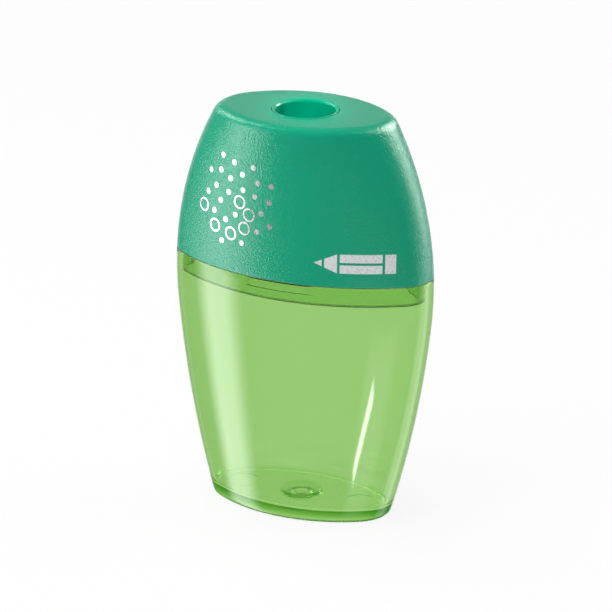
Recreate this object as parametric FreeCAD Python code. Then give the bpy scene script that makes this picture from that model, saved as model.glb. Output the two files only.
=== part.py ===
"""Canister pencil sharpener: a clear cup with a pull-off sharpening cap.

Millimetres. +Z is up, +X runs along the wide side and +Y points to the back.
The origin is the middle of the underside, on which the sharpener stands.
Every horizontal section of the barrel is a lens: two wide arcs joined by two end arcs.
"""
import FreeCAD, Part
import math
import os

from FreeCAD import Placement, Rotation, Vector

# Barrel outline seen from the wide side: two tangent arcs.
WIDEST_HALF = 19.0  # half-length at the widest level
WIDEST_Z = 33.4  # height of that level
SHOULDER_R = 49.5  # outline radius round the widest level and up to the top
FLANK_R = 150.0  # outline radius of the flank below
FLANK_TOP_Z = 28.7  # height where the flank arc meets the shoulder arc
HEIGHT = 57.8  # top face of the cover
SEAM_Z = 35.9  # parting level of the cup and the cover

# Half-depth and end radius of the section at the base, the seam and the top.
HALF_DEPTH = (7.45, 9.28, 8.8)
END_R = (5.1, 4.9, 6.2)
LOFT_STEP = 5.5  # spacing of the sections that the barrel surface runs through
THROUGH = 1.0  # how far a cutting shape runs past the face that it opens

# Cup
CUP_WALL = 1.0
CUP_FLOOR = 1.6
CUP_EDGE_R = 0.7  # rounding under the base
CUP_CORNER_R = 0.7  # rounding between the floor and the wall inside
SEAM_GAP = 0.1  # shadow gap between the cup's rim and the cover
GATE_BOSS_R, GATE_BOSS_H, GATE_BOSS_ROUND = 2.9, 0.5, 0.3  # on the floor, over the gate recess
GATE_DISH_R, GATE_DISH_H = 1.9, 0.3  # in the top of the boss
GATE_RECESS_R, GATE_RECESS_H = 2.6, 0.75  # under the base
GATE_NUB_R, GATE_NUB_H = 1.2, 0.4
PIN_MARK_X, PIN_MARK_R, PIN_MARK_H = 8.9, 2.2, 0.1  # ejector marks on the floor

# Cover
COVER_WALL = 1.2
COVER_TOP = 1.5
COVER_EDGE_R = 1.1  # rounding round the top face
COLLAR_HOLE_R = 4.64
RING_R, RING_H = 6.95, 2.0  # locating ring under the top, round the guide barrel

# Inner frame: a rim that plugs into the cup and two webs that carry the sharpening body.
PLUG_DEPTH = 3.1  # reach of the rim below the seam
FRAME_TOP_Z = 40.4
FRAME_INSET = 1.25  # outside of the rim, measured in from the barrel's surface
FRAME_WALL = 1.0
BEAD_Z, BEAD_H = 38.2, 0.8  # bead that holds the frame in the cover
BEAD_INSET, BEAD_GROOVE_INSET = 1.0, 0.95
LATCH_HALF, LATCH_Z, LATCH_H = 4.6, 34.5, 0.9  # latch beads in the cup's mouth
LATCH_INSET = 1.05
LATCH_GROOVE_INSET = 0.72
LATCH_ROOM = 0.12  # groove beyond the bead at each side
WEB_X, WEB_T, WEB_BOTTOM_Z = 8.6, 1.2, 36.6

# Sharpening body
BORE_R = 4.1  # guide for an 8 mm pencil
LIP_R, LIP_H, LIP_ROUND = 4.6, 0.1, 0.45  # rounded lip in the cover's hole
BARREL_R = 5.8
POINT_R = 0.55  # small end of the sharpening cone
CONE_HALF_ANGLE = 12.0
CONE_BOTTOM_Z = 34.5
BODY_HALF, BODY_BACK_Y = 7.8, 5.2
BODY_BOTTOM_Z, BODY_TOP_Z = 34.0, 50.5
BODY_EDGE_R = 0.8
LEDGE_X, LEDGE_HALF_Y, LEDGE_T = 9.5, 3.0, 1.2

# Blade, its seat and screw. Along the seat, heights are measured from the cone's small end.
SEAT_BITE = 0.15  # how far the seat cuts into the cone, so that the edge shaves
SEAT_TOP = 20.2
BLADE_BOTTOM, BLADE_TOP = -0.2, 19.8
BLADE_EDGE_X, BLADE_BACK_X, BLADE_T = 0.3, -7.7, 0.65
BEVEL_W, EDGE_LAND = 1.6, 0.05
MOUTH_W, MOUTH_DEPTH, MOUTH_BOTTOM, MOUTH_TOP = 2.7, 1.6, 0.8, 17.0
SCREW_X, SCREW_H = -4.2, 9.8
SCREW_HOLE_R, SCREW_CLEARANCE_R, SCREW_R = 1.05, 1.35, 1.0
SCREW_HEAD_R, SCREW_HEAD_T, SCREW_L = 2.1, 0.8, 5.4
SCREW_SLOT_W, SCREW_SLOT_DEPTH = 0.6, 0.4
SCREW_EDGE_R = 0.25
SCREW_HOLE_L = 6.0


def half_length(z):
    """Half the barrel's length at a height."""
    shoulder_centre = WIDEST_HALF - SHOULDER_R
    if z >= FLANK_TOP_Z:
        return shoulder_centre + math.sqrt(SHOULDER_R**2 - (z - WIDEST_Z) ** 2)
    lean = math.asin((WIDEST_Z - FLANK_TOP_Z) / SHOULDER_R)
    offset = FLANK_R - SHOULDER_R
    flank_z = WIDEST_Z + offset * math.sin(lean)
    flank_centre = shoulder_centre - offset * math.cos(lean)
    return flank_centre + math.sqrt(FLANK_R**2 - (z - flank_z) ** 2)


def at_height(z, sizes):
    """The parabola through the sizes at the base, the seam and the top."""
    base, seam, top = sizes
    return (
        base * (z - SEAM_Z) * (z - HEIGHT) / (SEAM_Z * HEIGHT)
        + seam * z * (z - HEIGHT) / (SEAM_Z * (SEAM_Z - HEIGHT))
        + top * z * (z - SEAM_Z) / (HEIGHT * (HEIGHT - SEAM_Z))
    )


def section(z, inset):
    """The lens-shaped wire at a height, moved in by the inset."""
    a = half_length(z) - inset
    b = at_height(z, HALF_DEPTH) - inset
    r = at_height(z, END_R) - inset
    wide_r = ((a - r) ** 2 + b**2 - r**2) / (2 * (b - r))
    turn = math.atan2(wide_r - b, a - r)
    x, y = a - r + r * math.cos(turn), r * math.sin(turn)
    points = [(-x, -y), (0, -b), (x, -y), (a, 0), (x, y), (0, b), (-x, y), (-a, 0), (-x, -y)]
    at = [Vector(px, py, z) for px, py in points]
    return Part.Wire([Part.Arc(*at[i : i + 3]).toShape() for i in range(0, 8, 2)])


def barrel(bottom, top, inset):
    """The solid barrel between two heights, moved in by the inset."""
    steps = max(2, math.ceil((top - bottom) / LOFT_STEP))
    heights = [bottom + (top - bottom) * i / steps for i in range(steps + 1)]
    return Part.makeLoft([section(z, inset) for z in heights], True, False)


def flat_edges(shape, z):
    """The edges that lie in the plane at a height."""
    near = 0.01
    return [e for e in shape.Edges if abs(e.BoundBox.ZMin - z) < near and abs(e.BoundBox.ZMax - z) < near]


def box(x, y, z):
    """A box from its ranges along the three axes."""
    low, high = zip(x, y, z)
    size = [h - l for l, h in zip(low, high)]
    return Part.makeBox(*size, Vector(*low))


def cylinder(r, bottom, top, x=0):
    """An upright cylinder between two heights."""
    return Part.makeCylinder(r, top - bottom, Vector(x, 0, bottom))


def dome(r, height, z):
    """A spherical cap that stands on the plane at a height."""
    ball_r = (r**2 + height**2) / (2 * height)
    ball = Part.makeSphere(ball_r, Vector(0, 0, z + height - ball_r))
    return ball.common(cylinder(r + THROUGH, z, z + height + THROUGH))


def dish(r, depth, z):
    """The same cap hanging below the plane."""
    ball_r = (r**2 + depth**2) / (2 * depth)
    ball = Part.makeSphere(ball_r, Vector(0, 0, z - depth + ball_r))
    return ball.common(cylinder(r + THROUGH, z - depth - THROUGH, z))


def on_seat(shape):
    """Moves a shape from the blade seat's own axes to the object's. There Y is in and Z is up the seat."""
    foot = Vector(0, SEAT_BITE - POINT_R, CONE_BOTTOM_Z)
    shape.Placement = Placement(foot, Rotation(Vector(1, 0, 0), CONE_HALF_ANGLE))
    return shape


def seat_cylinder(r, outside, inside):
    """A cylinder on the screw's axis, between two depths measured into the seat."""
    start = Vector(SCREW_X, outside, SCREW_H)
    return Part.makeCylinder(r, inside - outside, start, Vector(0, 1, 0))


def container():
    """The clear cup that catches the shavings."""
    rim_z = SEAM_Z - SEAM_GAP / 2
    outside = barrel(0, rim_z, 0)
    outside = outside.makeFillet(CUP_EDGE_R, flat_edges(outside, 0))
    cavity = barrel(CUP_FLOOR, rim_z + THROUGH, CUP_WALL)
    cavity = cavity.makeFillet(CUP_CORNER_R, flat_edges(cavity, CUP_FLOOR))
    boss_z = CUP_FLOOR + GATE_BOSS_H
    boss = cylinder(GATE_BOSS_R, CUP_FLOOR - GATE_BOSS_H, boss_z)
    boss = boss.makeFillet(GATE_BOSS_ROUND, flat_edges(boss, boss_z))
    cup = outside.cut(cavity).fuse(boss).cut(dish(GATE_DISH_R, GATE_DISH_H, boss_z))
    recess = dome(GATE_RECESS_R, GATE_RECESS_H, 0)
    nub = cylinder(GATE_NUB_R, GATE_RECESS_H - GATE_NUB_H, GATE_RECESS_H)
    cup = cup.cut(recess.cut(nub))
    for x in (-PIN_MARK_X, PIN_MARK_X):
        cup = cup.cut(cylinder(PIN_MARK_R, CUP_FLOOR - PIN_MARK_H, CUP_FLOOR + PIN_MARK_H, x))
    return cup.cut(latch(LATCH_GROOVE_INSET, 2 * CUP_WALL, LATCH_ROOM))


def latch(outer_inset, inner_inset, room):
    """Two short bars on the wide sides, between two insets, made longer and taller by the room."""
    bottom, top = LATCH_Z - room, LATCH_Z + LATCH_H + room
    half = LATCH_HALF + room
    ring = barrel(bottom, top, outer_inset).cut(barrel(bottom - THROUGH, top + THROUGH, inner_inset))
    return ring.common(box((-half, half), (-WIDEST_HALF, WIDEST_HALF), (bottom, top)))


def cover():
    """The coloured shell that is gripped to pull the cap off."""
    bottom, ceiling = SEAM_Z + SEAM_GAP / 2, HEIGHT - COVER_TOP
    shell = barrel(bottom, HEIGHT, 0)
    shell = shell.makeFillet(COVER_EDGE_R, flat_edges(shell, HEIGHT))
    shell = shell.cut(barrel(bottom - THROUGH, ceiling, COVER_WALL))
    ring = cylinder(RING_R, ceiling - RING_H, ceiling + COVER_TOP / 2)
    ring = ring.cut(cylinder(BARREL_R + SEAM_GAP / 2, ceiling - RING_H, ceiling))
    shell = shell.fuse(ring).cut(cylinder(COLLAR_HOLE_R, ceiling - RING_H, HEIGHT + THROUGH))
    return shell.cut(barrel(BEAD_Z, BEAD_Z + BEAD_H, BEAD_GROOVE_INSET))


def inner_frame():
    """The clear rim that plugs into the cup, with the webs that hold the sharpening body up."""
    bottom, inner_inset = SEAM_Z - PLUG_DEPTH, FRAME_INSET + FRAME_WALL
    hole = barrel(bottom - THROUGH, FRAME_TOP_Z + THROUGH, inner_inset)
    rim = barrel(bottom, FRAME_TOP_Z, FRAME_INSET).cut(hole)
    middle = FRAME_INSET + FRAME_WALL / 2
    bead = barrel(BEAD_Z, BEAD_Z + BEAD_H, BEAD_INSET).cut(barrel(BEAD_Z, BEAD_Z + BEAD_H, middle))
    frame = rim.fuse([bead, latch(LATCH_INSET, middle, 0)])
    room = barrel(WEB_BOTTOM_Z, FRAME_TOP_Z, middle)
    for side in (-1, 1):
        x = sorted((side * (WEB_X - WEB_T / 2), side * (WEB_X + WEB_T / 2)))
        web = box(x, (-WIDEST_HALF, WIDEST_HALF), (WEB_BOTTOM_Z, FRAME_TOP_Z))
        frame = frame.fuse(web.common(room))
    return frame.removeSplitter()


def lip_profile():
    """Half the section of the collar: straight outside, rounded lip, straight bore."""
    shoulder_z, lip_z = HEIGHT - COVER_TOP, HEIGHT + LIP_H
    outer_round = LIP_R - BORE_R - LIP_ROUND
    tilt = math.sqrt(0.5)
    inner = Vector(BORE_R + LIP_ROUND, 0, lip_z - LIP_ROUND)
    outer = Vector(LIP_R - outer_round, 0, lip_z - outer_round)
    start, foot = Vector(BORE_R, 0, shoulder_z), Vector(LIP_R, 0, shoulder_z)
    edges = [
        Part.LineSegment(start, inner - Vector(LIP_ROUND, 0, 0)).toShape(),
        Part.Arc(
            inner - Vector(LIP_ROUND, 0, 0),
            inner + Vector(-tilt, 0, tilt) * LIP_ROUND,
            inner + Vector(0, 0, LIP_ROUND),
        ).toShape(),
        Part.Arc(
            outer + Vector(0, 0, outer_round),
            outer + Vector(tilt, 0, tilt) * outer_round,
            outer + Vector(outer_round, 0, 0),
        ).toShape(),
        Part.LineSegment(outer + Vector(outer_round, 0, 0), foot).toShape(),
        Part.LineSegment(foot, start).toShape(),
    ]
    return Part.Face(Part.Wire(edges))


def sharpener_body():
    """The moulded body: pencil guide, sharpening cone, blade seat and the lip in the cover's hole."""
    shoulder_z = HEIGHT - COVER_TOP
    cone_top_z = CONE_BOTTOM_Z + (BORE_R - POINT_R) / math.tan(math.radians(CONE_HALF_ANGLE))
    block = box((-BODY_HALF, BODY_HALF), (-BODY_BACK_Y, BODY_BACK_Y), (BODY_BOTTOM_Z, BODY_TOP_Z))
    upright = [e for e in block.Edges if e.BoundBox.ZLength > BODY_BACK_Y]
    block = block.makeFillet(BODY_EDGE_R, upright)
    ledge_z = (FRAME_TOP_Z, FRAME_TOP_Z + LEDGE_T)
    ledges = box((-LEDGE_X, LEDGE_X), (-LEDGE_HALF_Y, LEDGE_HALF_Y), ledge_z)
    body = block.fuse([cylinder(BARREL_R, BODY_BOTTOM_Z, shoulder_z), ledges])
    cone = Part.makeCone(POINT_R, BORE_R, cone_top_z - CONE_BOTTOM_Z, Vector(0, 0, CONE_BOTTOM_Z))
    body = body.cut(cone).cut(cylinder(BORE_R, cone_top_z, HEIGHT))
    body = body.cut(cylinder(POINT_R, BODY_BOTTOM_Z - THROUGH, CONE_BOTTOM_Z))
    reach = 2 * WIDEST_HALF
    seat = box((-reach, reach), (-reach, 0), (BODY_BOTTOM_Z - CONE_BOTTOM_Z - THROUGH, SEAT_TOP))
    mouth_x = (BLADE_EDGE_X, BLADE_EDGE_X + MOUTH_W)
    mouth = box(mouth_x, (-THROUGH, MOUTH_DEPTH), (MOUTH_BOTTOM, MOUTH_TOP))
    hole = seat_cylinder(SCREW_HOLE_R, -THROUGH, SCREW_HOLE_L)
    for tool in (seat, mouth, hole):
        body = body.cut(on_seat(tool))
    collar = lip_profile().revolve(Vector(0, 0, 0), Vector(0, 0, 1), 360)
    return body.fuse(collar).removeSplitter()


def blade():
    """The steel blade with its ground edge and screw hole."""
    corners = [
        (BLADE_BACK_X, 0),
        (BLADE_EDGE_X, 0),
        (BLADE_EDGE_X, -EDGE_LAND),
        (BLADE_EDGE_X - BEVEL_W, -BLADE_T),
        (BLADE_BACK_X, -BLADE_T),
    ]
    outline = [Vector(x, y, BLADE_BOTTOM) for x, y in corners]
    plate = Part.Face(Part.makePolygon(outline + outline[:1]))
    plate = plate.extrude(Vector(0, 0, BLADE_TOP - BLADE_BOTTOM))
    return on_seat(plate.cut(seat_cylinder(SCREW_CLEARANCE_R, -THROUGH, THROUGH)))


def blade_screw():
    """The slotted screw that clamps the blade to its seat."""
    head_top = -BLADE_T - SCREW_HEAD_T
    head = seat_cylinder(SCREW_HEAD_R, head_top, -BLADE_T)
    rim = [e for e in head.Edges if abs(e.BoundBox.YMin - head_top) < SCREW_EDGE_R / 2]
    rim = [e for e in rim if e.BoundBox.YLength < SCREW_EDGE_R]
    head = head.makeFillet(SCREW_EDGE_R, rim)
    shank = seat_cylinder(SCREW_R, -BLADE_T, SCREW_L - BLADE_T)
    slot_x = (SCREW_X - SCREW_HEAD_R - THROUGH, SCREW_X + SCREW_HEAD_R + THROUGH)
    slot_z = (SCREW_H - SCREW_SLOT_W / 2, SCREW_H + SCREW_SLOT_W / 2)
    slot = box(slot_x, (head_top - THROUGH, head_top + SCREW_SLOT_DEPTH), slot_z)
    return on_seat(head.fuse(shank).cut(slot).removeSplitter())


os.makedirs("parts", exist_ok=True)
for make in (container, cover, inner_frame, sharpener_body, blade, blade_screw):
    shape = make()
    if shape.ShapeType == "Compound" and len(shape.Solids) == 1:
        shape = shape.Solids[0]
    shape.exportStep(f"parts/{make.__name__}.step")
    size = shape.optimalBoundingBox(False)
    print(
        f"{make.__name__}: {len(shape.Solids)} solid, valid {shape.isValid()}, "
        f"{shape.Volume:.1f} mm3, {size.XLength:.2f} x {size.YLength:.2f} x {size.ZLength:.2f} mm, "
        f"z {size.ZMin:.2f} to {size.ZMax:.2f}"
    )
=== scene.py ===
"""Canister pencil sharpener: its looks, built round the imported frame.

The barrel's plastic pieces are rebuilt here as fine, evenly meshed skins from the same section
formula as the design. The sizes of the pieces are written in millimetres and turned into metres on
the way in. Materials and lamps are in metres.
"""
import math

import bmesh
import bpy
from mathutils import Matrix, Vector


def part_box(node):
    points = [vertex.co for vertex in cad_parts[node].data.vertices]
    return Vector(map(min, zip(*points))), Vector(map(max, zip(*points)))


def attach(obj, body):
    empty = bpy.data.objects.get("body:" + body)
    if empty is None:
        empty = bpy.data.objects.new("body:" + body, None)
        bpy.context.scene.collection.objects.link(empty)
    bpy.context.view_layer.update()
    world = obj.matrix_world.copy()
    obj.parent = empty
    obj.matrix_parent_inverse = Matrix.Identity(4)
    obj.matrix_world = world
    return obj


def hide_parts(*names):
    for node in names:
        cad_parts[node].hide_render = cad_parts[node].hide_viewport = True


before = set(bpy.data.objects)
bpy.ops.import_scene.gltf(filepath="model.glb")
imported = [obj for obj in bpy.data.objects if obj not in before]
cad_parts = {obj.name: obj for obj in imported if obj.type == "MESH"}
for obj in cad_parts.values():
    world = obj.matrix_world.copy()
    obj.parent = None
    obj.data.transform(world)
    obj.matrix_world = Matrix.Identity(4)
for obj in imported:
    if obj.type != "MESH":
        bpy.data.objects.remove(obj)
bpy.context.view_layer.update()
MM = 0.001


def in_mm(corner):
    return [v / MM for v in corner]


# ---------------------------------------------------------------- sizes, in millimetres
CUP_HIGH = in_mm(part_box("container")[1])
COVER_LOW, COVER_HIGH = (in_mm(c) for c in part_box("cover"))
FRAME_LOW, FRAME_HIGH = (in_mm(c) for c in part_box("inner_frame"))
BODY_LOW, BODY_HIGH = (in_mm(c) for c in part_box("sharpener_body"))
RIM_Z, COVER_Z, TOP_Z = CUP_HIGH[2], COVER_LOW[2], COVER_HIGH[2]
SEAM_Z = (RIM_Z + COVER_Z) / 2
SEAM_CLOSED = 0.035  # how far each edge closes the gap at the seam
CUP_TOP_Z = RIM_Z + SEAM_CLOSED

# Barrel: the outline from the wide side is two tangent arcs, and each section is a lens.
WIDEST_HALF, WIDEST_Z, SHOULDER_R = 19.0, 33.4, 49.5
FLANK_R, FLANK_TOP_Z = 150.0, 28.7
HALF_DEPTH = (7.45, 9.28, 8.8)  # at the base, the seam and the top
END_R = (5.1, 4.9, 6.2)
WIDE_STEPS, END_STEPS = 64, 24  # mesh steps along each wide arc and each end arc
LEVEL_STEP = 0.8

CUP_WALL, CUP_FLOOR, CUP_EDGE_R, CUP_CORNER_R = 1.0, 1.6, 0.7, 0.7
GATE_BOSS_R, GATE_BOSS_H, GATE_BOSS_ROUND, GATE_DISH_R, GATE_DISH_H = 2.9, 0.5, 0.3, 1.9, 0.3
GATE_RECESS_R, GATE_RECESS_H, GATE_NUB_R, GATE_NUB_H = 2.6, 0.75, 1.2, 0.4
PIN_MARK_X, PIN_MARK_R, PIN_MARK_H = 8.9, 2.2, 0.1
COVER_WALL, COVER_TOP, COVER_EDGE_R, COLLAR_HOLE_R = 1.2, 1.5, 1.1, 4.64
RING_R, RING_H = 6.95, 2.0
FRAME_INSET, FRAME_WALL, WEB_X, WEB_T, WEB_BOTTOM_Z = 1.25, 1.0, 8.6, 1.2, 36.6
BEAD_Z, BEAD_H, BEAD_INSET, BEAD_GROOVE_INSET = 38.2, 0.8, 1.0, 0.95
LATCH_HALF, LATCH_Z, LATCH_H, LATCH_ROOM = 4.6, 34.5, 0.9, 0.12
LATCH_INSET, LATCH_GROOVE_INSET = 1.05, 0.72
BARREL_R = 5.8


# ---------------------------------------------------------------- barrel geometry
def half_length(z):
    """Half the barrel's length at a height."""
    shoulder_centre = WIDEST_HALF - SHOULDER_R
    if z >= FLANK_TOP_Z:
        return shoulder_centre + math.sqrt(SHOULDER_R**2 - (z - WIDEST_Z) ** 2)
    lean = math.asin((WIDEST_Z - FLANK_TOP_Z) / SHOULDER_R)
    offset = FLANK_R - SHOULDER_R
    flank_z = WIDEST_Z + offset * math.sin(lean)
    flank_centre = shoulder_centre - offset * math.cos(lean)
    return flank_centre + math.sqrt(FLANK_R**2 - (z - flank_z) ** 2)


def at_height(z, sizes):
    """The parabola through the sizes at the base, the seam and the top."""
    base, seam, top = sizes
    return (
        base * (z - SEAM_Z) * (z - TOP_Z) / (SEAM_Z * TOP_Z)
        + seam * z * (z - TOP_Z) / (SEAM_Z * (SEAM_Z - TOP_Z))
        + top * z * (z - SEAM_Z) / (TOP_Z * (TOP_Z - SEAM_Z))
    )


def lens(z, inset):
    """The section at a height, moved in: end arc's centre, its radius, wide radius, half-depth, turn."""
    a = half_length(z) - inset
    b = at_height(z, HALF_DEPTH) - inset
    r = at_height(z, END_R) - inset
    wide_r = ((a - r) ** 2 + b**2 - r**2) / (2 * (b - r))
    return a - r, r, wide_r, b, math.atan2(wide_r - b, a - r)


def ring(z, inset):
    """Points round the section at a height, from the left end of the front arc, anticlockwise."""
    end_x, end_r, wide_r, b, turn = lens(z, inset)
    half = math.pi / 2 - turn
    points = []
    for side in (-1, 1):
        for i in range(WIDE_STEPS):
            a = half * (2 * i / WIDE_STEPS - 1)
            points.append((-side * wide_r * math.sin(a), side * (wide_r * math.cos(a) - wide_r + b), z))
        for i in range(END_STEPS):
            a = turn * (2 * i / END_STEPS - 1)
            points.append((-side * (end_x + end_r * math.cos(a)), -side * end_r * math.sin(a), z))
    return points


def circle_like(points, radius, z):
    """A circle's points in the directions of another ring's points."""
    scale = [radius / math.hypot(x, y) for x, y, _ in points]
    return [(x * s, y * s, z) for (x, y, _), s in zip(points, scale)]


def between(first, second, steps):
    """Rings that turn evenly from one ring into another, both left out."""
    return [
        [tuple(Vector(p).lerp(Vector(q), i / steps)) for p, q in zip(first, second)]
        for i in range(1, steps)
    ]


def levels(low, high):
    """Even heights from low to high, both kept, at most LEVEL_STEP apart."""
    steps = max(1, math.ceil((high - low) / LEVEL_STEP))
    return [low + (high - low) * i / steps for i in range(steps + 1)]


def arc_rings(centre_inset, centre_z, radius, start, end, steps=8):
    """Rings along a rounding. Angles are in degrees: 0 points inwards and 90 points up."""
    rings = []
    for i in range(steps + 1):
        a = math.radians(start + (end - start) * i / steps)
        rings.append(ring(centre_z + radius * math.sin(a), centre_inset + radius * math.cos(a)))
    return rings


def on_latch(z, inset, latch_inset, half):
    """A section whose wide sides are moved to another inset near the middle, where a latch is."""
    return [q if abs(q[0]) <= half else p for p, q in zip(ring(z, inset), ring(z, latch_inset))]


def cap_z(r, radius, height):
    """Height of a spherical cap above its base circle, at a distance from its axis."""
    ball_r = (radius**2 + height**2) / (2 * height)
    return math.sqrt(ball_r**2 - r**2) - ball_r + height


# ---------------------------------------------------------------- mesh building
def finish_mesh(bm, name, sharp_degrees=32):
    """Turns a bmesh in millimetres into an object in metres, smooth except across sharp edges."""
    bmesh.ops.recalc_face_normals(bm, faces=bm.faces)
    bmesh.ops.scale(bm, vec=(MM, MM, MM), verts=bm.verts)
    mesh = bpy.data.meshes.new(name)
    bm.to_mesh(mesh)
    bm.free()
    mesh.shade_smooth()
    mesh.set_sharp_from_angle(angle=math.radians(sharp_degrees))
    obj = bpy.data.objects.new(name, mesh)
    bpy.context.scene.collection.objects.link(obj)
    return obj


def add_skin(bm, rings, loop=False):
    """A skin through rings of equal length. It closes on itself, or at both ends on a middle point."""
    rows = [[bm.verts.new(p) for p in points] for points in rings]
    pairs = list(zip(rows, rows[1:]))
    if loop:
        pairs.append((rows[-1], rows[0]))
    for low, high in pairs:
        for i, (a, b) in enumerate(zip(low, high)):
            j = (i + 1) % len(low)
            bm.faces.new((a, low[j], high[j], b))
    if not loop:
        for row in (rows[0], rows[-1]):
            middle = bm.verts.new((0, 0, row[0].co.z))
            for a, b in zip(row, row[1:] + row[:1]):
                bm.faces.new((a, b, middle))


def skin(name, rings, loop=False):
    bm = bmesh.new()
    add_skin(bm, rings, loop)
    return finish_mesh(bm, name)


def lathe_rings(profile, steps=96):
    """Rings of circles from (radius, height) pairs."""
    turns = [2 * math.pi * i / steps for i in range(steps)]
    return [[(r * math.cos(t), r * math.sin(t), z) for t in turns] for r, z in profile]


def block(name, low, high, bevel=0.0, upright_only=False):
    """A box between two corners, with rounded edges."""
    bm = bmesh.new()
    bmesh.ops.create_cube(bm, size=1.0)
    size = Vector(high) - Vector(low)
    bmesh.ops.scale(bm, vec=size, verts=bm.verts)
    bmesh.ops.translate(bm, vec=(Vector(low) + Vector(high)) / 2, verts=bm.verts)
    if bevel:
        edges = [e for e in bm.edges if not upright_only or abs(e.verts[0].co.z - e.verts[1].co.z) > bevel]
        bmesh.ops.bevel(bm, geom=edges, offset=bevel, segments=5, profile=0.5, affect="EDGES")
    return finish_mesh(bm, name)


def combine(target, tool, operation):
    """Applies a boolean to the target and removes the tool."""
    modifier = target.modifiers.new("combine", "BOOLEAN")
    modifier.operation, modifier.solver, modifier.object = operation, "EXACT", tool
    evaluated = target.evaluated_get(bpy.context.evaluated_depsgraph_get())
    mesh = bpy.data.meshes.new_from_object(evaluated)
    target.modifiers.clear()
    old, target.data = target.data, mesh
    mesh.name = target.name
    bpy.data.meshes.remove(old)
    bpy.data.objects.remove(tool)
    return target


def smooth(obj, sharp_degrees=32):
    obj.data.shade_smooth()
    obj.data.set_sharp_from_angle(angle=math.radians(sharp_degrees))
    return obj


# ---------------------------------------------------------------- the plastic pieces
def make_cup():
    """The clear cup as one closed skin, from the middle of the underside to the middle of the floor."""
    base, floor = ring(0, CUP_EDGE_R), ring(CUP_FLOOR, CUP_WALL + CUP_CORNER_R)
    nub_z, small = GATE_RECESS_H - GATE_NUB_H, 0.08
    recess_turn = [GATE_NUB_R + (GATE_RECESS_R - GATE_NUB_R) * i / 6 for i in range(7)]
    rings = [
        circle_like(base, GATE_NUB_R / 2, nub_z),
        circle_like(base, GATE_NUB_R - small, nub_z),
        circle_like(base, GATE_NUB_R, nub_z + small),
    ]
    rings += [circle_like(base, r, cap_z(r, GATE_RECESS_R, GATE_RECESS_H)) for r in recess_turn]
    rings += [circle_like(base, GATE_RECESS_R + small, 0)]
    rings += between(rings[-1], base, 6)
    rings += arc_rings(CUP_EDGE_R, CUP_EDGE_R, CUP_EDGE_R, -90, -180, 10)
    lip = 0.07
    rings += [ring(z, 0) for z in levels(CUP_EDGE_R, CUP_TOP_Z - lip)[1:-1]]
    rings += arc_rings(lip, CUP_TOP_Z - lip, lip, 180, 90, 4)
    rings += arc_rings(CUP_WALL - lip, CUP_TOP_Z - lip, lip, 90, 0, 4)
    low, high = LATCH_Z - LATCH_ROOM, LATCH_Z + LATCH_H + LATCH_ROOM
    half, step = LATCH_HALF + LATCH_ROOM, 0.03
    rings += [
        ring(high + step, CUP_WALL),
        on_latch(high, CUP_WALL, LATCH_GROOVE_INSET, half),
        on_latch(low, CUP_WALL, LATCH_GROOVE_INSET, half),
        ring(low - step, CUP_WALL),
    ]
    inner = levels(CUP_FLOOR + CUP_CORNER_R, low - step)
    rings += [ring(z, CUP_WALL) for z in reversed(inner[1:-1])]
    corner = CUP_WALL + CUP_CORNER_R
    rings += arc_rings(corner, CUP_FLOOR + CUP_CORNER_R, CUP_CORNER_R, 180, 270, 8)
    foot = circle_like(floor, GATE_BOSS_R + small, CUP_FLOOR)
    rings += between(floor, foot, 8) + [foot]
    boss_z, dish_z = CUP_FLOOR + GATE_BOSS_H, CUP_FLOOR + GATE_BOSS_H - GATE_DISH_H
    boss = [(GATE_BOSS_R, CUP_FLOOR + small)]
    for i in range(7):
        a, flat = math.pi / 2 * i / 6, GATE_BOSS_R - GATE_BOSS_ROUND
        boss.append((flat + GATE_BOSS_ROUND * math.cos(a), boss_z - GATE_BOSS_ROUND * (1 - math.sin(a))))
    boss += [(GATE_DISH_R + small, boss_z), (GATE_DISH_R - small / 2, boss_z - small / 4)]
    for i in range(1, 8):
        share = 1 - i / 8
        boss.append((GATE_DISH_R * share, dish_z + GATE_DISH_H * share**2))
    rings += [circle_like(floor, r, z) for r, z in boss]
    cup = skin("cup", rings)
    for x in (-PIN_MARK_X, PIN_MARK_X):
        profile = [(PIN_MARK_R, CUP_FLOOR - PIN_MARK_H), (PIN_MARK_R, CUP_FLOOR + 2 * PIN_MARK_H)]
        mark = skin("mark", lathe_rings(profile))
        mark.data.transform(Matrix.Translation((x * MM, 0, 0)))
        combine(cup, mark, "DIFFERENCE")
    return smooth(cup)


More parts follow.
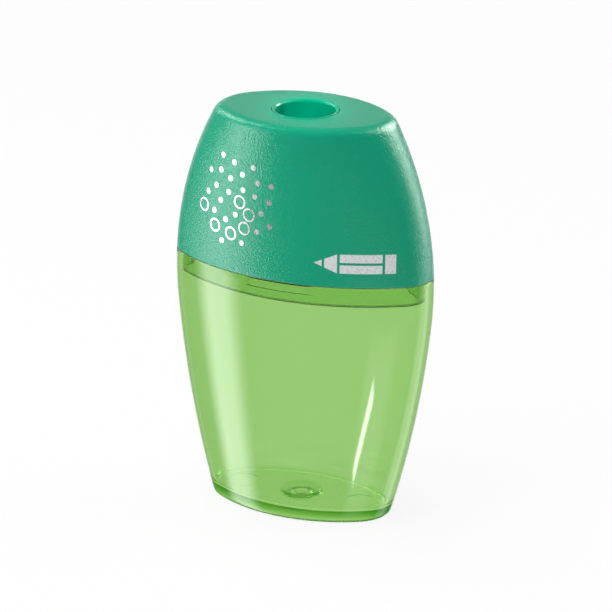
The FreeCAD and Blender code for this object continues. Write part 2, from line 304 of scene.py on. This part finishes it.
def make_cover():
    """The coloured shell as one closed skin, round the hole in its top."""
    ceiling, edge, lip = TOP_Z - COVER_TOP, 0.07, 0.06
    top = ring(TOP_Z, COVER_EDGE_R)
    under = ring(ceiling, COVER_WALL)
    low = COVER_Z - SEAM_CLOSED
    rings = arc_rings(edge, low + edge, edge, -90, -180, 4)
    rings += [ring(z, 0) for z in levels(COVER_Z + edge, TOP_Z - COVER_EDGE_R)[1:-1]]
    rings += arc_rings(COVER_EDGE_R, TOP_Z - COVER_EDGE_R, COVER_EDGE_R, 180, 90, 12)
    hole_top = circle_like(top, COLLAR_HOLE_R + lip, TOP_Z)
    rings += between(top, hole_top, 10) + [hole_top]
    circles = [
        (COLLAR_HOLE_R, TOP_Z - lip),
        (COLLAR_HOLE_R, ceiling),
        (BARREL_R + 0.05, ceiling),
        (BARREL_R + 0.05, ceiling - RING_H),
        (RING_R, ceiling - RING_H),
        (RING_R, ceiling),
    ]
    rings += [circle_like(top, r, z) for r, z in circles]
    rings += between(rings[-1], under, 5)
    groove_low, groove_high, step = BEAD_Z, BEAD_Z + BEAD_H, 0.1
    rings += [ring(z, COVER_WALL) for z in reversed(levels(groove_high + step, ceiling))]
    rings += [ring(groove_high, BEAD_GROOVE_INSET), ring(groove_low, BEAD_GROOVE_INSET)]
    rings += [ring(z, COVER_WALL) for z in reversed(levels(low, groove_low - step))]
    return skin("cover_shell", rings, loop=True)


def make_frame():
    """The clear rim that plugs into the cup, with its latch beads and the two webs."""
    bottom, top = FRAME_LOW[2], FRAME_HIGH[2]
    inner, edge, step = FRAME_INSET + FRAME_WALL, 0.05, 0.05
    latch_top = LATCH_Z + LATCH_H
    rings = arc_rings(FRAME_INSET + edge, bottom + edge, edge, -90, -180, 4)
    rings += [ring(z, FRAME_INSET) for z in levels(bottom + edge, LATCH_Z - step)[1:]]
    rings += [on_latch(z, FRAME_INSET, LATCH_INSET, LATCH_HALF) for z in (LATCH_Z, latch_top)]
    rings += [ring(z, FRAME_INSET) for z in levels(latch_top + step, BEAD_Z - step)]
    rings += [ring(BEAD_Z, BEAD_INSET), ring(BEAD_Z + BEAD_H, BEAD_INSET)]
    rings += [ring(z, FRAME_INSET) for z in levels(BEAD_Z + BEAD_H + step, top)]
    rings += [ring(z, inner) for z in reversed(levels(bottom + edge, top))]
    rings += arc_rings(inner - edge, bottom + edge, edge, 0, -90, 4)[1:]
    rim = skin("plug_frame", rings, loop=True)
    depth = at_height(SEAM_Z, HALF_DEPTH)
    for side in (-1, 1):
        near, far = sorted((side * (WEB_X - WEB_T / 2), side * (WEB_X + WEB_T / 2)))
        reach = depth - inner - FRAME_WALL
        web = block("web", (near, -reach, WEB_BOTTOM_Z), (far, reach, top - edge), 0.1)
        combine(rim, web, "UNION")
    return smooth(rim)


LIP_R, LIP_ROUND, BORE_R, POINT_R = 4.6, 0.45, 4.1, 0.55
CONE_HALF_ANGLE, CONE_BOTTOM_Z = 12.0, 34.5
BODY_HALF, BODY_BACK_Y, BLOCK_TOP_Z, BODY_EDGE_R = 7.8, 5.2, 50.5, 0.8
LEDGE_X, LEDGE_HALF_Y, LEDGE_T = 9.5, 3.0, 1.2
SEAT_BITE, SEAT_TOP = 0.15, 20.2
BLADE_EDGE_X, MOUTH_W, MOUTH_DEPTH, MOUTH_BOTTOM, MOUTH_TOP = 0.3, 2.7, 1.6, 0.8, 17.0
SCREW_X, SCREW_H, SCREW_HOLE_R, SCREW_HOLE_L = -4.2, 9.8, 1.05, 6.0
FAR = 30.0  # reach of a cutting shape past the body


def seat_axes():
    """The blade seat's own axes: X across the blade, Y into the body, Z up the seat."""
    foot = Vector((0, SEAT_BITE - POINT_R, CONE_BOTTOM_Z)) * MM
    return Matrix.Translation(foot) @ Matrix.Rotation(math.radians(CONE_HALF_ANGLE), 4, "X")


def make_body():
    """The moulded sharpening body: collar with its rounded lip, guide, cone, blade seat and mouth."""
    bottom, lip_z, shoulder_z = BODY_LOW[2], BODY_HIGH[2], TOP_Z - COVER_TOP
    rim_round = LIP_R - BORE_R - LIP_ROUND
    outside = [(BARREL_R / 2, bottom + 0.5), (BARREL_R, bottom + 0.5), (BARREL_R, shoulder_z)]
    outside += [(LIP_R, shoulder_z), (LIP_R, lip_z - rim_round), (LIP_R - rim_round / 2, lip_z)]
    outside += [(BORE_R / 2, lip_z)]
    body = skin("sharpening_body", lathe_rings(outside, 128))
    low, high = (-BODY_HALF, -BODY_BACK_Y, bottom), (BODY_HALF, BODY_BACK_Y, BLOCK_TOP_Z)
    combine(body, block("block", low, high, BODY_EDGE_R, upright_only=True), "UNION")
    low = (-LEDGE_X, -LEDGE_HALF_Y, FRAME_HIGH[2])
    high = (LEDGE_X, LEDGE_HALF_Y, FRAME_HIGH[2] + LEDGE_T)
    combine(body, block("ledges", low, high, 0.15), "UNION")
    cone_top_z = CONE_BOTTOM_Z + (BORE_R - POINT_R) / math.tan(math.radians(CONE_HALF_ANGLE))
    bore = [(POINT_R, bottom - 1), (POINT_R, CONE_BOTTOM_Z), (BORE_R, cone_top_z)]
    for i in range(11):
        a = math.pi / 2 * i / 10
        r = BORE_R + LIP_ROUND * (1 - math.cos(a))
        bore.append((r, lip_z - LIP_ROUND + LIP_ROUND * math.sin(a)))
    bore.append((BORE_R + LIP_ROUND, lip_z + 1))
    combine(body, skin("bore", lathe_rings(bore, 128)), "DIFFERENCE")
    mouth_far = BLADE_EDGE_X + MOUTH_W
    cuts = [
        block("seat", (-FAR, -FAR, bottom - CONE_BOTTOM_Z - 1), (FAR, 0, SEAT_TOP)),
        block("mouth", (BLADE_EDGE_X, -1, MOUTH_BOTTOM), (mouth_far, MOUTH_DEPTH, MOUTH_TOP), 0.2),
    ]
    hole = skin("hole", lathe_rings([(SCREW_HOLE_R, -1), (SCREW_HOLE_R, SCREW_HOLE_L)], 48))
    hole.data.transform(Matrix.Rotation(-math.pi / 2, 4, "X"))
    hole.data.transform(Matrix.Translation(Vector((SCREW_X, 0, SCREW_H)) * MM))
    for cut in cuts + [hole]:
        cut.data.transform(seat_axes())
        combine(body, cut, "DIFFERENCE")
    return smooth(body)


# ---------------------------------------------------------------- the silver foil on the cover
FOIL_T = 0.03  # height of the foil over the cover, and its depth into it


def on_cover(s, z, lift):
    """A point on the barrel: s runs along the section from the middle of the front, to the right."""
    end_x, end_r, wide_r, b, turn = lens(z, -lift)
    half = math.pi / 2 - turn
    flat = lens(z, 0)[2] * half
    side = math.copysign(1, s)
    if abs(s) <= flat:
        a = s / flat * half
        return wide_r * math.sin(a), -(wide_r * math.cos(a) - wide_r + b), z
    a = (abs(s) - flat) / end_r - turn
    return side * (end_x + end_r * math.cos(a)), end_r * math.sin(a), z


def add_foil(bm, outlines):
    """Adds one foil patch. outlines are closed rows of (s, z), from the inside to the outside."""
    rows = []
    for lift in (FOIL_T, -FOIL_T):
        ordered = outlines if lift > 0 else outlines[::-1]
        rows += [[bm.verts.new(on_cover(s, z, lift)) for s, z in outline] for outline in ordered]
    for low, high in zip(rows, rows[1:] + rows[:1]):
        for i, (a, b) in enumerate(zip(low, high)):
            j = (i + 1) % len(low)
            bm.faces.new((a, low[j], high[j], b))


def circle(s, z, radius, steps):
    """A closed row of (s, z)."""
    turns = [2 * math.pi * i / steps for i in range(steps)]
    return [(s + radius * math.cos(t), z + radius * math.sin(t)) for t in turns]


PRINT_S, PRINT_Z, PRINT_STEP, PRINT_COUNT = -6.8, 46.2, 1.22, 30
DOT_R, DOT_CORE_R, PRINT_RING_R, PRINT_RING_LINE, PRINT_RING_EVERY = 0.4, 0.02, 0.85, 0.24, 5
GOLDEN_ANGLE = math.pi * (3 - math.sqrt(5))


def make_bubbles():
    """The print on the left of the front: an even spiral of dots, with a ring in place of every fifth."""
    bm = bmesh.new()
    for i in range(PRINT_COUNT):
        turn, out = i * GOLDEN_ANGLE, PRINT_STEP * math.sqrt(i + 0.5)
        s, z = PRINT_S + out * math.cos(turn), PRINT_Z + out * math.sin(turn)
        if i % PRINT_RING_EVERY == 0:
            radii, steps = [PRINT_RING_R + d * PRINT_RING_LINE for d in (-0.5, 0, 0.5)], 72
        else:
            radii, steps = (DOT_CORE_R, DOT_R * 0.6, DOT_R), 32
        add_foil(bm, [circle(s, z, radius, steps) for radius in radii])
    return finish_mesh(bm, "foil_bubbles")


MARK_S, MARK_Z, MARK_LENGTH, MARK_R, MARK_GAP = 10.9, 39.35, 11.2, 1.35, 0.35
MARK_POINT, MARK_CONE, MARK_END = 1.1, 3.2, 1.5  # lengths along it
STRIP_STEPS, STRIP_START = 10, 0.02  # a strip starts this share of a step late, for a tip with a width


def make_mark():
    """A plain pencil pictogram: a point, a cone, a body in two stripes, and an end."""
    left, right = MARK_S - MARK_LENGTH / 2, MARK_S + MARK_LENGTH / 2
    low, high, gap = MARK_Z - MARK_R, MARK_Z + MARK_R, MARK_GAP
    slope = MARK_R / MARK_CONE
    point, cone, end = left + MARK_POINT, left + MARK_CONE, right - MARK_END

    def tapered(s):
        return MARK_Z - slope * (s - left), MARK_Z + slope * (s - left)

    steps = STRIP_STEPS + STRIP_START
    bm = bmesh.new()
    for start, stop, heights in (
        (left, point, tapered),
        (point + gap, cone, tapered),
        (cone + gap, end - gap, lambda s: (low, MARK_Z - gap / 2)),
        (cone + gap, end - gap, lambda s: (MARK_Z + gap / 2, high)),
        (end, right, lambda s: (low, high)),
    ):
        along = [start + (stop - start) * (i + STRIP_START) / steps for i in range(STRIP_STEPS + 1)]
        add_strip(bm, [(s, heights(s)[0]) for s in along], [(s, heights(s)[1]) for s in along])
    return finish_mesh(bm, "foil_mark")


def add_strip(bm, first, second):
    """A closed flat bar of foil between two open rows of (s, z)."""
    rows = []
    for row, lift in ((first, FOIL_T), (second, FOIL_T), (second, -FOIL_T), (first, -FOIL_T)):
        rows.append([bm.verts.new(on_cover(s, z, lift)) for s, z in row])
    for low, high in zip(rows, rows[1:] + rows[:1]):
        for i in range(len(low) - 1):
            bm.faces.new((low[i], low[i + 1], high[i + 1], high[i]))
    bm.faces.new([row[0] for row in rows])
    bm.faces.new([row[-1] for row in reversed(rows)])


# ---------------------------------------------------------------- materials
def new_material(name):
    """A node material with its principled shader: (material, nodes, links, shader)."""
    material = bpy.data.materials.new(name)
    material.use_nodes = True
    tree = material.node_tree
    return material, tree.nodes, tree.links, tree.nodes["Principled BSDF"]


def object_noise(nodes, links, scale, detail=2.0, roughness=0.5, stretch=(1, 1, 1)):
    """A noise texture fixed to the piece, in metres."""
    coords = nodes.new("ShaderNodeTexCoord")
    mapping = nodes.new("ShaderNodeMapping")
    mapping.inputs["Scale"].default_value = stretch
    noise = nodes.new("ShaderNodeTexNoise")
    noise.inputs["Scale"].default_value = scale
    noise.inputs["Detail"].default_value = detail
    noise.inputs["Roughness"].default_value = roughness
    links.new(coords.outputs["Object"], mapping.inputs["Vector"])
    links.new(mapping.outputs["Vector"], noise.inputs["Vector"])
    return noise


def calculate(nodes, links, operation, *values):
    """The result of a math node. Each value is an output or a number."""
    node = nodes.new("ShaderNodeMath")
    node.operation = operation
    for socket, value in zip(node.inputs, values):
        if isinstance(value, (int, float)):
            socket.default_value = value
        else:
            links.new(value, socket)
    return node.outputs["Value"]


def ramp_between(nodes, links, value, low, high, start=0.0, end=1.0):
    """Goes smoothly from start at low to end at high."""
    ramp = nodes.new("ShaderNodeMapRange")
    ramp.interpolation_type = "SMOOTHSTEP"
    ramp.inputs["From Min"].default_value, ramp.inputs["From Max"].default_value = low, high
    ramp.inputs["To Min"].default_value, ramp.inputs["To Max"].default_value = start, end
    links.new(value, ramp.inputs["Value"])
    return ramp.outputs["Result"]


def spread(nodes, links, source, low, high):
    """Maps a noise from its usual range onto low to high."""
    ramp = nodes.new("ShaderNodeMapRange")
    ramp.inputs["From Min"].default_value, ramp.inputs["From Max"].default_value = 0.3, 0.7
    ramp.inputs["To Min"].default_value, ramp.inputs["To Max"].default_value = low, high
    links.new(source, ramp.inputs["Value"])
    return ramp.outputs["Result"]


def add_bump(nodes, links, shader, height, distance, strength=1.0):
    """Fine relief, as deep as the distance."""
    bump = nodes.new("ShaderNodeBump")
    bump.inputs["Distance"].default_value = distance
    bump.inputs["Strength"].default_value = strength
    links.new(height, bump.inputs["Height"])
    links.new(bump.outputs["Normal"], shader.inputs["Normal"])
    return bump


TEAL = (0.0, 0.385, 0.215, 1)
TEAL_DEEP = (0.0, 0.365, 0.203, 1)
GREEN_WALL = (0.788, 0.900, 0.686, 1)  # what passes the two skins of a wall
GREEN_ABSORPTION = (300.0, 128.0, 460.0)  # per metre of plastic, in red, green and blue

# Heights in mm where the clear plastic's matt edges are fully matt and where they are clear.
CUP_MATT = (0.15, 0.6)
PLUG_MATT = (FRAME_LOW[2] + 0.05, FRAME_LOW[2] + 0.2)
RIM_MATT = (CUP_TOP_Z - 0.04, CUP_TOP_Z - 0.055)


def tinted(nodes, links, shader, source, first, second):
    """Colour that drifts between two close shades."""
    mix = nodes.new("ShaderNodeMix")
    mix.data_type = "RGBA"
    mix.inputs[6].default_value, mix.inputs[7].default_value = first, second
    links.new(source, mix.inputs["Factor"])
    links.new(mix.outputs[2], shader.inputs["Base Color"])


def teal_grained():
    """Moulded plastic with a fine spark-eroded grain."""
    material, nodes, links, shader = new_material("teal_grained")
    cloud = object_noise(nodes, links, 90, 3)
    tinted(nodes, links, shader, cloud.outputs["Fac"], TEAL, TEAL_DEEP)
    grain = object_noise(nodes, links, 4000, 2, 0.5)
    links.new(spread(nodes, links, grain.outputs["Fac"], 0.16, 0.24), shader.inputs["Roughness"])
    shader.inputs["Specular IOR Level"].default_value = 0.8
    add_bump(nodes, links, shader, grain.outputs["Fac"], 0.00009, 1.0)
    return material


def teal_gloss():
    """The same plastic from a polished mould."""
    material, nodes, links, shader = new_material("teal_gloss")
    cloud = object_noise(nodes, links, 110, 3)
    tinted(nodes, links, shader, cloud.outputs["Fac"], TEAL, TEAL_DEEP)
    waves = object_noise(nodes, links, 260, 2)
    links.new(spread(nodes, links, waves.outputs["Fac"], 0.06, 0.12), shader.inputs["Roughness"])
    add_bump(nodes, links, shader, waves.outputs["Fac"], 0.00004, 0.4)
    return material


def clear_green(name, *matt_edges):
    """Clear tinted plastic: smooth skins with faint mould waves, and colour that deepens with depth.

    Each matt edge is (height where it is fully matt, height where it is clear), in mm.
    """
    material, nodes, links, shader = new_material(name)
    shader.inputs["Base Color"].default_value = GREEN_WALL
    shader.inputs["Transmission Weight"].default_value = 1.0
    shader.inputs["IOR"].default_value = 1.55
    waves = object_noise(nodes, links, 70, 1.5)
    links.new(spread(nodes, links, waves.outputs["Fac"], 0.0, 0.03), shader.inputs["Roughness"])
    add_bump(nodes, links, shader, waves.outputs["Fac"], 0.00005, 0.25)
    coords, parts = nodes.new("ShaderNodeTexCoord"), nodes.new("ShaderNodeSeparateXYZ")
    links.new(coords.outputs["Object"], parts.inputs["Vector"])
    frost = nodes.new("ShaderNodeBsdfTranslucent")
    frost.inputs["Color"].default_value = (1, 1, 1, 1)
    mix = nodes.new("ShaderNodeMixShader")
    height = parts.outputs["Z"]
    matt = 0.0
    for matt_z, clear_z in matt_edges:
        low, high = min(matt_z, clear_z), max(matt_z, clear_z)
        ends = (1.0, 0.0) if matt_z < clear_z else (0.0, 1.0)
        edge = ramp_between(nodes, links, height, low * MM, high * MM, *ends)
        matt = calculate(nodes, links, "MAXIMUM", edge, matt)
    links.new(matt, mix.inputs["Fac"])
    links.new(shader.outputs["BSDF"], mix.inputs[1])
    links.new(frost.outputs["BSDF"], mix.inputs[2])
    links.new(mix.outputs["Shader"], nodes["Material Output"].inputs["Surface"])
    volume = nodes.new("ShaderNodeVolumeAbsorption")
    most = max(GREEN_ABSORPTION)
    volume.inputs["Density"].default_value = most
    volume.inputs["Color"].default_value = [1 - k / most for k in GREEN_ABSORPTION] + [1]
    links.new(volume.outputs["Volume"], nodes["Material Output"].inputs["Volume"])
    return material


def steel(name, stretch, roughness):
    """Ground steel. A stretch above 1 draws its grain out into fine lines."""
    material, nodes, links, shader = new_material(name)
    lines = object_noise(nodes, links, 900, 4, 0.65, stretch)
    tinted(nodes, links, shader, lines.outputs["Fac"], (0.50, 0.51, 0.53, 1), (0.66, 0.67, 0.68, 1))
    shader.inputs["Metallic"].default_value = 1.0
    low, high = roughness
    links.new(spread(nodes, links, lines.outputs["Fac"], low, high), shader.inputs["Roughness"])
    add_bump(nodes, links, shader, lines.outputs["Fac"], 0.00002, 0.5)
    return material


def silver_foil(name, metallic):
    """Hot-stamped silver foil with a fine grain of its own."""
    material, nodes, links, shader = new_material(name)
    grain = object_noise(nodes, links, 2600, 3, 0.6)
    tinted(nodes, links, shader, grain.outputs["Fac"], (0.80, 0.86, 0.86, 1), (0.92, 0.95, 0.95, 1))
    shader.inputs["Metallic"].default_value = metallic
    links.new(spread(nodes, links, grain.outputs["Fac"], 0.22, 0.38), shader.inputs["Roughness"])
    add_bump(nodes, links, shader, grain.outputs["Fac"], 0.00002, 0.5)
    return material


def paint(obj, material):
    obj.data.materials.clear()
    obj.data.materials.append(material)


# ---------------------------------------------------------------- pieces
def place(piece, node, body, material):
    """Puts a rebuilt piece in its node's stead."""
    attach(piece, body)
    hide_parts(node)
    paint(piece, material)


place(make_cup(), "container", "cup", clear_green("green_cup", CUP_MATT, RIM_MATT))
place(make_cover(), "cover", "cap", teal_grained())
place(make_frame(), "inner_frame", "cap", clear_green("green_frame", PLUG_MATT))
place(make_body(), "sharpener_body", "cap", teal_gloss())
paint(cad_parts["blade"], steel("blade_steel", (14, 1, 1), (0.16, 0.3)))
paint(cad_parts["blade_screw"], steel("screw_steel", (1, 1, 1), (0.2, 0.34)))
for print_piece, metallic in ((make_bubbles(), 0.75), (make_mark(), 0.2)):
    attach(print_piece, "cap")
    paint(print_piece, silver_foil("silver_" + print_piece.name, metallic))


# ---------------------------------------------------------------- stage, lights and camera
def ray_share(nodes, links, names):
    """1 for rays of any of the named kinds, otherwise 0."""
    path = nodes.new("ShaderNodeLightPath")
    share = path.outputs[names[0]]
    for name in names[1:]:
        share = calculate(nodes, links, "MAXIMUM", share, path.outputs[name])
    return share


def facing(azimuth, elevation):
    """Unit vectors towards, right of and above a direction. Azimuth 0 is in front and 90 to the right."""
    a, e = math.radians(azimuth), math.radians(elevation)
    towards = Vector((math.sin(a) * math.cos(e), -math.cos(a) * math.cos(e), math.sin(e)))
    right = Vector((math.cos(a), math.sin(a), 0))
    return towards, right, right.cross(-towards)


def panel_glow(nodes, links, direction, azimuth, elevation, half_angles, edge, level, lean=0.0):
    """Light from one soft-edged studio panel. Its half width, half height and edge are in degrees."""
    towards, right, up = facing(azimuth, elevation)
    turn = math.radians(lean)
    right, up = right * math.cos(turn) + up * math.sin(turn), up * math.cos(turn) - right * math.sin(turn)
    along = []
    for axis in (towards, right, up):
        dot = nodes.new("ShaderNodeVectorMath")
        dot.operation = "DOT_PRODUCT"
        links.new(direction, dot.inputs[0])
        dot.inputs[1].default_value = axis
        along.append(dot.outputs["Value"])
    glow = ramp_between(nodes, links, along[0], 0.0, 0.1, 0.0, level)
    for part, half in zip(along[1:], half_angles):
        off = calculate(nodes, links, "ABSOLUTE", calculate(nodes, links, "ARCTAN2", part, along[0]))
        near, far = math.radians(half - edge), math.radians(half + edge)
        inside = ramp_between(nodes, links, off, near, far, 1.0, 0.0)
        glow = calculate(nodes, links, "MULTIPLY", glow, inside)
    return glow


AIM = Vector((0, 0, 30)) * MM
FLOOR_GAP = 0.02  # mm below the object, so that the two don't share a plane
CAMERA_DISTANCE, CAMERA_TURN, CAMERA_RISE, CAMERA_ROLL = 506.3 * MM, 23.71, 20.66, 0.535
CAMERA_LENS, CAMERA_SHIFT = 215.0, (0.0036, -0.0092)
# azimuth, elevation, (half width, half height), edge, level, lean
PANELS = [
    (-64, -24, (11, 36), 7, 4.6, 0),  # left strip
    (-96, 33, (4, 24), 3, 9.0, -49),  # tube above it
    (141, 14, (9, 26), 5, 6.0, 0),  # right strip
    (118, -28, (16, 20), 9, 1.5, 0),  # its lower end
    (117, 49, (4, 14), 3, 9.0, 51),  # tube above it
    (37, -33, (7, 6), 3, 1.0, 0),  # low on the right
    (32.8, -32.8, (1.1, 3.3), 0.6, 12.0, -38),  # its bare tube
    (158, 24, (9, 8), 2, 20.0, 0),  # small lamp behind, for the lip of the hole
]
ROOM_FRONT, ROOM_BACK = 0.06, 0.28  # how bright the room mirrors, in front and behind
ROOM_THROUGH, ROOM_DIFFUSE = 0.90, 0.28  # how bright it is through clear plastic and on matt surfaces
FLOOR_GLOW = 0.88
ROOM_TURN = (-0.1, 0.6)  # where the room goes from front to back, along Y
SWEEP_EDGE = (0.80, 0.95)  # the white sweep ahead of the camera, as the cosine of the angle from it


def make_world():
    """A white background, seen directly and through the cup, and the studio that the skins mirror."""
    world = bpy.data.worlds.new("studio")
    bpy.context.scene.world = world
    world.use_nodes = True
    world.cycles.sampling_method = "NONE"
    nodes, links = world.node_tree.nodes, world.node_tree.links
    coords, parts = nodes.new("ShaderNodeTexCoord"), nodes.new("ShaderNodeSeparateXYZ")
    direction = coords.outputs["Generated"]
    links.new(direction, parts.inputs["Vector"])
    mirrored = ramp_between(nodes, links, parts.outputs["Y"], *ROOM_TURN, ROOM_FRONT, ROOM_BACK)
    ahead = nodes.new("ShaderNodeVectorMath")
    ahead.operation = "DOT_PRODUCT"
    links.new(direction, ahead.inputs[0])
    ahead.inputs[1].default_value = -facing(CAMERA_TURN, CAMERA_RISE)[0]
    sweep = ramp_between(nodes, links, ahead.outputs["Value"], *SWEEP_EDGE, 0.0, 1.0)
    mirrored = calculate(nodes, links, "MAXIMUM", mirrored, sweep)
    for panel in PANELS:
        azimuth, elevation, half_angles, edge, level, lean = panel
        glow = panel_glow(nodes, links, direction, azimuth, elevation, half_angles, edge, level, lean)
        mirrored = calculate(nodes, links, "ADD", mirrored, glow)
    through = ray_share(nodes, links, ("Is Transmission Ray",))
    seen_through = calculate(nodes, links, "MULTIPLY", through, ROOM_THROUGH)
    mirrored = calculate(nodes, links, "MAXIMUM", mirrored, seen_through)
    by_skins = ray_share(nodes, links, ("Is Glossy Ray", "Is Transmission Ray"))
    light = calculate(nodes, links, "MULTIPLY", by_skins, mirrored)
    for name, level in (("Is Diffuse Ray", ROOM_DIFFUSE), ("Is Camera Ray", 1.0)):
        light = calculate(nodes, links, "MULTIPLY_ADD", ray_share(nodes, links, (name,)), level, light)
    background = nodes["Background"]
    background.inputs["Color"].default_value = (1, 1, 1, 1)
    links.new(light, background.inputs["Strength"])


def make_floor():
    """A plain white table top, lit evenly, with a faint shadow of the object."""
    bm = bmesh.new()
    half = 3000.0
    corners = [(x, y, -FLOOR_GAP) for x, y in ((-half, -half), (half, -half), (half, half), (-half, half))]
    bm.faces.new([bm.verts.new(p) for p in corners])
    floor = finish_mesh(bm, "floor")
    material, nodes, links, shader = new_material("floor_white")
    shader.inputs["Base Color"].default_value = (0.9, 0.9, 0.9, 1)
    shader.inputs["Roughness"].default_value = 0.9
    glow = nodes.new("ShaderNodeEmission")
    glow.inputs["Strength"].default_value = 1.0
    directly = ray_share(nodes, links, ("Is Camera Ray", "Is Diffuse Ray"))
    through = ray_share(nodes, links, ("Is Transmission Ray",))
    share = calculate(nodes, links, "MULTIPLY_ADD", directly, FLOOR_GLOW, through)
    mix = nodes.new("ShaderNodeMixShader")
    links.new(share, mix.inputs["Fac"])
    links.new(shader.outputs["BSDF"], mix.inputs[1])
    links.new(glow.outputs["Emission"], mix.inputs[2])
    links.new(mix.outputs["Shader"], nodes["Material Output"].inputs["Surface"])
    paint(floor, material)
    floor.visible_glossy = False


def softbox(name, azimuth, elevation, distance, size, power, spread=180, aim=None):
    """A rectangular lamp that mirrors and clear plastic don't show, aimed at the object or at a point."""
    lamp = bpy.data.lights.new(name, "AREA")
    lamp.shape = "RECTANGLE"
    lamp.size, lamp.size_y = size
    lamp.energy = power
    lamp.spread = math.radians(spread)
    obj = bpy.data.objects.new(name, lamp)
    bpy.context.scene.collection.objects.link(obj)
    towards = facing(azimuth, elevation)[0]
    obj.location = (aim or AIM) + towards * distance
    obj.rotation_mode = "QUATERNION"
    obj.rotation_quaternion = towards.to_track_quat("Z", "Y")
    obj.visible_camera = obj.visible_glossy = obj.visible_transmission = False
    return obj


def make_camera():
    """The camera, to the right of the front and above, tipped a little about its own axis."""
    back, right, up = facing(CAMERA_TURN, CAMERA_RISE)
    roll = math.radians(CAMERA_ROLL)
    level_right = right * math.cos(roll) + up * math.sin(roll)
    level_up = up * math.cos(roll) - right * math.sin(roll)
    data = bpy.data.cameras.new("camera")
    data.sensor_width, data.lens = 36.0, CAMERA_LENS
    data.shift_x, data.shift_y = CAMERA_SHIFT
    data.clip_start, data.clip_end = 0.01, 20.0
    camera = bpy.data.objects.new("camera", data)
    bpy.context.scene.collection.objects.link(camera)
    axes = Matrix((level_right, level_up, back)).transposed().to_4x4()
    camera.matrix_world = Matrix.Translation(AIM + back * CAMERA_DISTANCE) @ axes
    bpy.context.scene.camera = camera


make_world()
make_floor()
softbox("key", -46, 5, 0.6, (0.40, 0.50), 2.1)
softbox("right", 122, 0, 0.6, (0.50, 0.8), 2.6)
softbox("top", -60, 75, 0.6, (0.6, 0.4), 3.0)
softbox("bore", 24, 50, 0.25, (0.006, 0.006), 0.00022, 3, Vector((0, 0, TOP_Z)) * MM)
make_camera()
view = bpy.context.scene.view_settings
view.view_transform, view.look = "Standard", "None"
